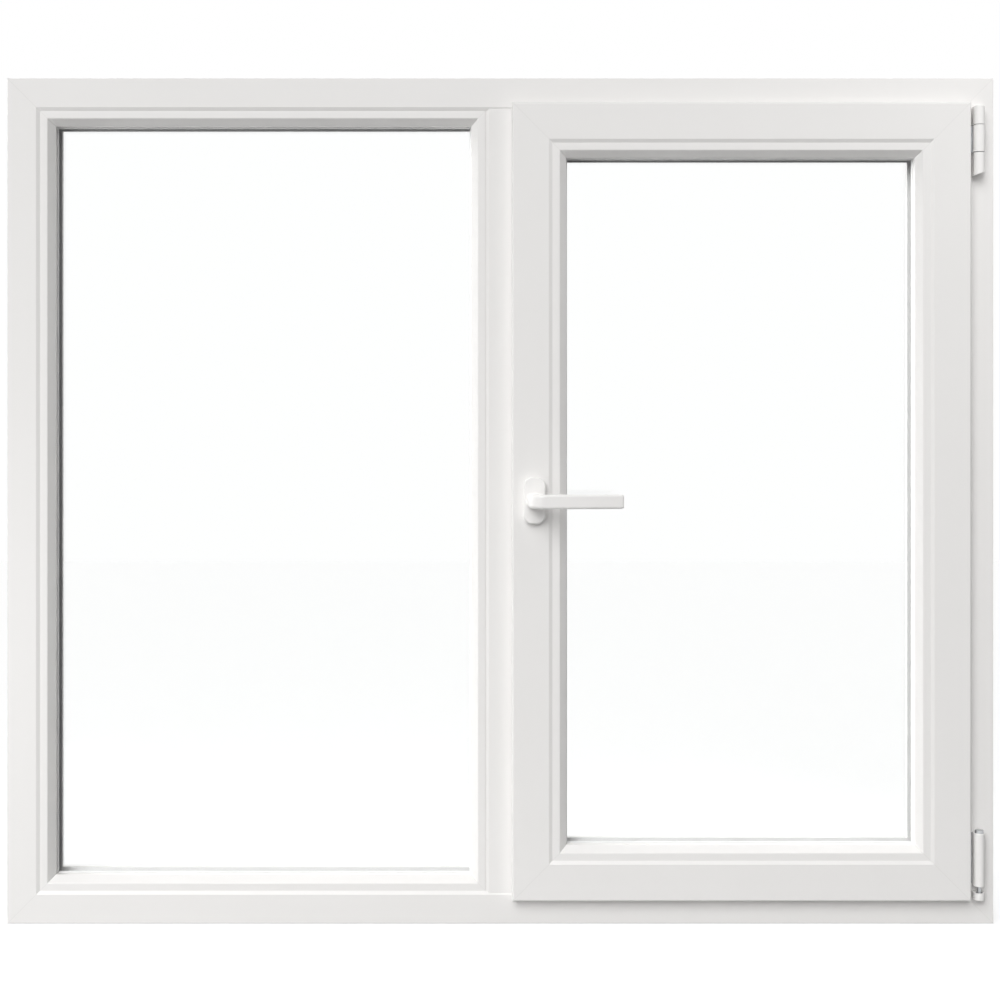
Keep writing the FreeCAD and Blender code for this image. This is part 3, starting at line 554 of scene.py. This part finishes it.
# %% Zinc finish
ZINC_DULL, ZINC_BRIGHT = (0.36, 0.37, 0.385, 1), (0.57, 0.58, 0.59, 1)
CLOUD_SHARE, LINE_SHARE = 0.6, 0.4
ZINC_GLOSS = (0.26, 0.52)
ZINC_RELIEF = 0.00003
zinc_finish, tree, shader = new_finish("zinc_plated_steel")
even = place_group(tree, cloud_and_grain, Cloud_Scale=110.0, Grain_Scale=1500.0)
lines = place_group(tree, drawn_lines, Squeeze=(0.03, 1.0, 0.03), Fineness=1400.0)
zinc_tone = blend_colours(tree, even.outputs["Cloud"], ZINC_DULL, ZINC_BRIGHT)
tree.links.new(zinc_tone, shader.inputs["Base Color"])
shader.inputs["Metallic"].default_value = 1.0
lined = calc(tree, "MULTIPLY", lines.outputs["Lines"], LINE_SHARE)
dull = calc(tree, "MULTIPLY_ADD", even.outputs["Cloud"], CLOUD_SHARE, lined)
tree.links.new(spread_value(tree, dull, *ZINC_GLOSS), shader.inputs["Roughness"])
bump(tree, shader, lines.outputs["Lines"], ZINC_RELIEF)
steel = [s["node"] for s in frame["record"]["subparts"] if s["material_slot"] == "zinc_steel"]
for name in steel:
    finish_node(name, zinc_finish)
print("zinc", steel)

# %% [markdown]
# ## Coated handle and hinge covers
# The handle is cast metal with a baked white coat. Such a coat flows a little before it sets, which
# leaves a soft pebble of about a millimetre. The hinge covers are moulded plastic with a finer,
# duller grain. Both are one function with different grain.

# %% Handle and cover finishes
COAT, COAT_SHADE = (0.90, 0.888, 0.874, 1), (0.88, 0.868, 0.853, 1)


def white_coat(name, grain_scale, grain_height, gloss):
    """A white coat with its own grain, and gloss that drifts between two values."""
    material, tree, shader = new_finish(name)
    even = place_group(tree, cloud_and_grain, Cloud_Scale=30.0, Grain_Scale=grain_scale)
    tree.links.new(blend_colours(tree, even.outputs["Cloud"], COAT_SHADE, COAT), shader.inputs["Base Color"])
    tree.links.new(spread_value(tree, even.outputs["Cloud"], *gloss), shader.inputs["Roughness"])
    bump(tree, shader, even.outputs["Grain"], grain_height)
    return material


handle_finish = white_coat("white_handle_coat", grain_scale=750.0, grain_height=0.00004, gloss=(0.28, 0.40))
cover_finish = white_coat("white_hinge_cover", grain_scale=2400.0, grain_height=0.00003, gloss=(0.42, 0.55))
for part in frame["record"]["subparts"]:
    if part["material_slot"] == "white_handle":
        finish_node(part["node"], handle_finish)
    if part["material_slot"] == "white_hinge_cover":
        finish_node(part["node"], cover_finish)

# %% [markdown]
# ## Softened edges
# Nothing on the real window has a knife edge, and it is the rounded edges that catch the light.
# The CAD meshes stay as they are, and modifiers round what is shown: a weld joins the loose seams
# of the imported mesh, a bevel rounds the sharp edges, and weighted normals keep the flats flat.
# At the mitres the bevels of two pieces make the thin groove of a real corner joint.

# %% Soften the CAD edges
EDGE_ANGLE = 25
EDGE_SEGMENTS = 2
WELD_REACH = 0.00001


def soften(node, width):
    """Round the sharp edges of a node as it is shown."""
    weld = node.modifiers.new("weld", "WELD")
    weld.merge_threshold = WELD_REACH
    edge = node.modifiers.new("edges", "BEVEL")
    edge.width = width
    edge.segments = EDGE_SEGMENTS
    edge.limit_method = "ANGLE"
    edge.angle_limit = math.radians(EDGE_ANGLE)
    edge.use_clamp_overlap = True
    flats = node.modifiers.new("flats", "WEIGHTED_NORMAL")
    flats.keep_sharp = False


EDGE_WIDTHS = {
    "white_pvc": 0.00025,
    "white_handle": 0.0004,
    "white_hinge_cover": 0.0005,
    "zinc_steel": 0.0003,
}
for part in frame["record"]["subparts"]:
    width = EDGE_WIDTHS.get(part["material_slot"])
    if width:
        soften(nodes[part["node"]], width)
print("softened", sum(1 for n in nodes.values() if n.modifiers))

# %% [markdown]
# ## Cover of the stay's knuckle
# The middle length of the top hinge belongs to the stay, which is bare steel. On the real hinge
# a white clip covers it, so that the whole hinge looks white. The clip is a thin wall bent round the
# knuckle: its outline is walked once on the outside and back on the inside, then drawn upwards, with
# the two end rings pulled in a little for rounded rims.

# %% Knuckle cover
COVER_WALL = 0.00035
COVER_RIM = 0.0004
COVER_RIM_SHARE = 0.3
COVER_STEPS = 28
COVER_FLAT = 0.004
COVER_START, COVER_TURN = 180, 255
BARREL_REACH = 1.01


def drawn_ring(name, outer, inner, levels):
    """A wall between two open outlines, drawn through levels of (height, share of the wall kept)."""
    bm = bmesh.new()
    rings = []
    for height, share in levels:
        shrunk = [i.lerp(o, share) for o, i in zip(outer, inner)]
        rings.append([bm.verts.new((p.x, p.y, height)) for p in (*shrunk, *reversed(inner))])
    for low_ring, high_ring in zip(rings, rings[1:]):
        for k in range(len(low_ring)):
            after = (k + 1) % len(low_ring)
            bm.faces.new((low_ring[k], low_ring[after], high_ring[after], high_ring[k]))
    count = len(outer)
    for ring in (rings[0], rings[-1]):
        for k in range(count - 1):
            bm.faces.new((ring[k], ring[k + 1], ring[2 * count - 2 - k], ring[2 * count - 1 - k]))
    bmesh.ops.recalc_face_normals(bm, faces=bm.faces)
    mesh = bpy.data.meshes.new(name)
    bm.to_mesh(mesh)
    bm.free()
    piece = bpy.data.objects.new(name, mesh)
    scene.collection.objects.link(piece)
    return piece


joint = next(j for j in frame["record"]["behaviour"]["joints"] if j["name"] == "stay_swing")
hinge = Vector(joint["pos_m"][:2])
bracket_low, bracket_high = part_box("top_hinge_bracket")
barrel = (bracket_high.x - bracket_low.x) / 2


def knuckle_outline(radius):
    """From the flat left side round the front and the right side to the back of the knuckle."""
    turn = [math.radians(COVER_START + COVER_TURN * k / COVER_STEPS) for k in range(COVER_STEPS + 1)]
    arc = [hinge + Vector((math.cos(a), math.sin(a))) * radius for a in turn]
    return [hinge + Vector((-radius, COVER_FLAT)), *arc]


stay_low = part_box("stay_arm")[0].z
on_barrel = [
    vert.co.z
    for vert in nodes["stay_arm"].data.vertices
    if (vert.co.xy - hinge).length < barrel * BARREL_REACH
]
knuckle_high = min(round(z, 5) for z in on_barrel if round(z, 5) > stay_low + barrel)
levels = [
    (stay_low, COVER_RIM_SHARE),
    (stay_low + COVER_RIM, 1.0),
    (knuckle_high - COVER_RIM, 1.0),
    (knuckle_high, COVER_RIM_SHARE),
]
outer, inner = knuckle_outline(barrel + COVER_WALL), knuckle_outline(barrel)
knuckle_cover = drawn_ring("stay_knuckle_cover", outer, inner, levels)
knuckle_cover.data.materials.append(cover_finish)
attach(knuckle_cover, "stay")
print("knuckle cover from", round(stay_low, 4), "to", round(knuckle_high, 4))

# %% [markdown]
# ## Screw and rivet heads
# Keeps, face plates and the hinge leaf are screwed on, which shows when the sash is open. A screw
# head is a low dome with a cross sunk into it. Its top is a disc with a cross-shaped hole: both
# outlines are drawn as loops of edges and the ground between them is filled with triangles.

# %% Screw and rivet heads
HEAD_SIDES = 24
SCREW_RADIUS, SCREW_HEIGHT = 0.0034, 0.0011
RIVET_RADIUS, RIVET_HEIGHT = 0.0045, 0.0010
HEAD_SUNK = 0.0002
# Radius and height of each ring as shares of the head's own
SCREW_RINGS = ((1.0, 0.35), (0.86, 0.8), (0.66, 1.0))
RIVET_RINGS = ((1.0, 0.2), (0.86, 0.62), (0.5, 1.0))
# Length and half width of the cross's arms as shares of the head's radius
CROSS_MOUTH, CROSS_DEEP = (0.56, 0.13), (0.36, 0.08)


def circle(bm, radius, height):
    """A ring of corners round the axis of a head."""
    turn = [2 * math.pi * k / HEAD_SIDES for k in range(HEAD_SIDES)]
    return [bm.verts.new((math.cos(a) * radius, math.sin(a) * radius, height)) for a in turn]


def loop_edges(bm, ring):
    """The edges that close a ring of corners."""
    return [bm.edges.new((ring[k - 1], ring[k])) for k in range(len(ring))]


def join_rings(bm, low_ring, high_ring):
    """A band of faces between two rings."""
    for k in range(len(low_ring)):
        bm.faces.new((low_ring[k - 1], low_ring[k], high_ring[k], high_ring[k - 1]))


def head_rings(bm, radius, height, shares):
    """The rings of a round head from its sunk foot upwards, joined to each other."""
    rings = [circle(bm, radius, -HEAD_SUNK)]
    rings += [circle(bm, radius * wide, height * high) for wide, high in shares]
    for low_ring, high_ring in zip(rings, rings[1:]):
        join_rings(bm, low_ring, high_ring)
    return rings


def cross_ring(bm, shares, height):
    """Twelve corners of a cross."""
    arm, half = (SCREW_RADIUS * share for share in shares)
    corners = [(arm, -half), (arm, half), (half, half)]
    points = []
    for quarter in range(4):
        turn = Matrix.Rotation(quarter * math.pi / 2, 2)
        points += [turn @ Vector(corner) for corner in corners]
    return [bm.verts.new((p.x, p.y, height)) for p in points]


def screw_head():
    """A low dome with a cross sunk into its top."""
    bm = bmesh.new()
    rings = head_rings(bm, SCREW_RADIUS, SCREW_HEIGHT, SCREW_RINGS)
    mouth = cross_ring(bm, CROSS_MOUTH, SCREW_HEIGHT)
    deep = cross_ring(bm, CROSS_DEEP, 0.0)
    top = rings[-1]
    rim = [edge for edge in bm.edges if edge.verts[0] in top and edge.verts[1] in top]
    bmesh.ops.triangle_fill(bm, use_beauty=True, edges=rim + loop_edges(bm, mouth))
    join_rings(bm, deep, mouth)
    bm.faces.new(deep)
    bm.faces.new(reversed(rings[0]))
    return bm


def rivet_head():
    """A plain low dome."""
    bm = bmesh.new()
    rings = head_rings(bm, RIVET_RADIUS, RIVET_HEIGHT, RIVET_RINGS)
    bm.faces.new(rings[-1])
    bm.faces.new(reversed(rings[0]))
    return bm


print("heads", SCREW_RADIUS * 2000, "and", RIVET_RADIUS * 2000, "mm across")

# %% [markdown]
# ## Places for heads
# Each head is set where a ray meets the metal, so it lies on the plate wherever that is. The heads
# of one kind and body become one piece, and each is spun a little further than the one before,
# because no two screws stop at the same turn.

# %% Places for heads
HEAD_SPIN = 1.1
RAY_START = 0.05


def fasten(name, body, heads, places):
    """One piece of many heads, each turned to its place's outward direction, riding a body."""
    joined = bmesh.new()
    for number, (point, outward) in enumerate(places):
        head = heads()
        spin = Matrix.Rotation(number * HEAD_SPIN, 4, "Z")
        turn = outward.to_track_quat("Z", "Y").to_matrix().to_4x4()
        head.transform(Matrix.Translation(point) @ turn @ spin)
        mesh = bpy.data.meshes.new("head")
        head.to_mesh(mesh)
        head.free()
        joined.from_mesh(mesh)
        bpy.data.meshes.remove(mesh)
    bmesh.ops.recalc_face_normals(joined, faces=joined.faces)
    mesh = bpy.data.meshes.new(name)
    joined.to_mesh(mesh)
    joined.free()
    piece = bpy.data.objects.new(name, mesh)
    scene.collection.objects.link(piece)
    mesh.materials.append(zinc_finish)
    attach(piece, body)
    print(name, len(places), "heads,", len(mesh.polygons), "faces")


def islands(name):
    """The boxes of a node's separate solids, in the same order on every run."""
    bm = bmesh.new()
    bm.from_mesh(nodes[name].data)
    bmesh.ops.remove_doubles(bm, verts=bm.verts, dist=WELD_REACH)
    left_over = set(bm.verts)
    boxes = []
    while left_over:
        reached, front = set(), [left_over.pop()]
        while front:
            vert = front.pop()
            reached.add(vert)
            beside = {edge.other_vert(vert) for edge in vert.link_edges} & left_over
            front += beside
            left_over -= beside
        low = Vector([min(v.co[a] for v in reached) for a in range(3)])
        high = Vector([max(v.co[a] for v in reached) for a in range(3)])
        boxes.append((low, high))
    bm.free()
    return sorted(boxes, key=lambda box: [round(v, 4) for v in box[0]])


def on_surface(name, point, outward):
    """Where a ray against the outward direction meets the node."""
    far_off = point + outward * RAY_START
    hit, place, _, _ = nodes[name].ray_cast(far_off, -outward)
    if not hit:
        raise ValueError(f"no surface of {name} near {tuple(point)}")
    return place, outward


def plate_ways(low, high):
    """The thin axis and the long axis of a plate's box."""
    size = high - low
    return min((0, 2), key=lambda axis: size[axis]), max((0, 2), key=lambda axis: size[axis])


print("plates", {name: len(islands(name)) for name in ("lock_keeps", "lock_face_plates")})

# %% [markdown]
# ## Screws of the lock
# Keeps sit on the frame and their screws face the sash. Face plates sit on the sash and their
# screws face the frame. Each keep has a screw near either end, and each face plate has a row.

# %% Screws of the lock
sash_low, sash_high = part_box("sash_room_pane")
sash_middle = (sash_low + sash_high) / 2
KEEP_SCREW_SHARE = 0.12
PLATE_SCREW_END = 0.03
PLATE_SCREW_STEP = 0.24


def screws_along(name, steps, sign):
    """Screws along the middle line of each plate of a node, facing to or from the sash's middle."""
    places = []
    for low, high in islands(name):
        thin, long = plate_ways(low, high)
        centre = (low + high) / 2
        outward = Vector((0, 0, 0))
        outward[thin] = math.copysign(sign, sash_middle[thin] - centre[thin])
        for along in steps(high[long] - low[long]):
            point = centre.copy()
            point[long] = low[long] + along
            places.append(on_surface(name, point, outward))
    return places


def plate_steps(length):
    """Evenly spaced screws, the first and the last near the ends."""
    count = max(1, round(length / PLATE_SCREW_STEP))
    span = length - 2 * PLATE_SCREW_END
    return [PLATE_SCREW_END + span * k / count for k in range(count + 1)]


def keep_steps(length):
    """Two screws, near the ends."""
    return length * KEEP_SCREW_SHARE, length * (1 - KEEP_SCREW_SHARE)


fasten("keep_screws", "frame", screw_head, screws_along("lock_keeps", keep_steps, 1.0))
fasten("face_plate_screws", "sash", screw_head, screws_along("lock_face_plates", plate_steps, -1.0))

# %% [markdown]
# ## Hinge leaf and stay
# Three screws hold the bottom hinge's leaf to the edge of the sash. The stay arm is riveted
# together, and three rivet heads show on its upper side.

# %% Hinge leaf and stay
leaf_low, leaf_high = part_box("bottom_hinge_knuckle")
LEAF_SCREWS, LEAF_SCREW_START, LEAF_SCREW_STEP = 3, 0.01, 0.022
LEAF_EDGE = SCREW_RADIUS * 1.8
leaf_depth = leaf_high.y - LEAF_EDGE
leaf_heights = [leaf_low.z + LEAF_SCREW_START + LEAF_SCREW_STEP * k for k in range(LEAF_SCREWS)]
leaf_places = [
    on_surface("bottom_hinge_knuckle", Vector((leaf_low.x, leaf_depth, z)), Vector((1, 0, 0)))
    for z in leaf_heights
]
fasten("hinge_leaf_screws", "sash", screw_head, leaf_places)

arm_low, arm_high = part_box("stay_arm")
ARM_EDGE = RIVET_RADIUS * 1.4
ARM_NEAR, ARM_FAR = 0.12, 0.06
arm_middle = arm_high.y - ARM_EDGE
rivet_places = [
    on_surface("stay_arm", Vector((x, arm_middle, arm_high.z)), Vector((0, 0, 1)))
    for x in (arm_low.x + ARM_EDGE, arm_low.x + ARM_NEAR, arm_high.x - ARM_FAR)
]
fasten("stay_rivets", "stay", rivet_head, rivet_places)
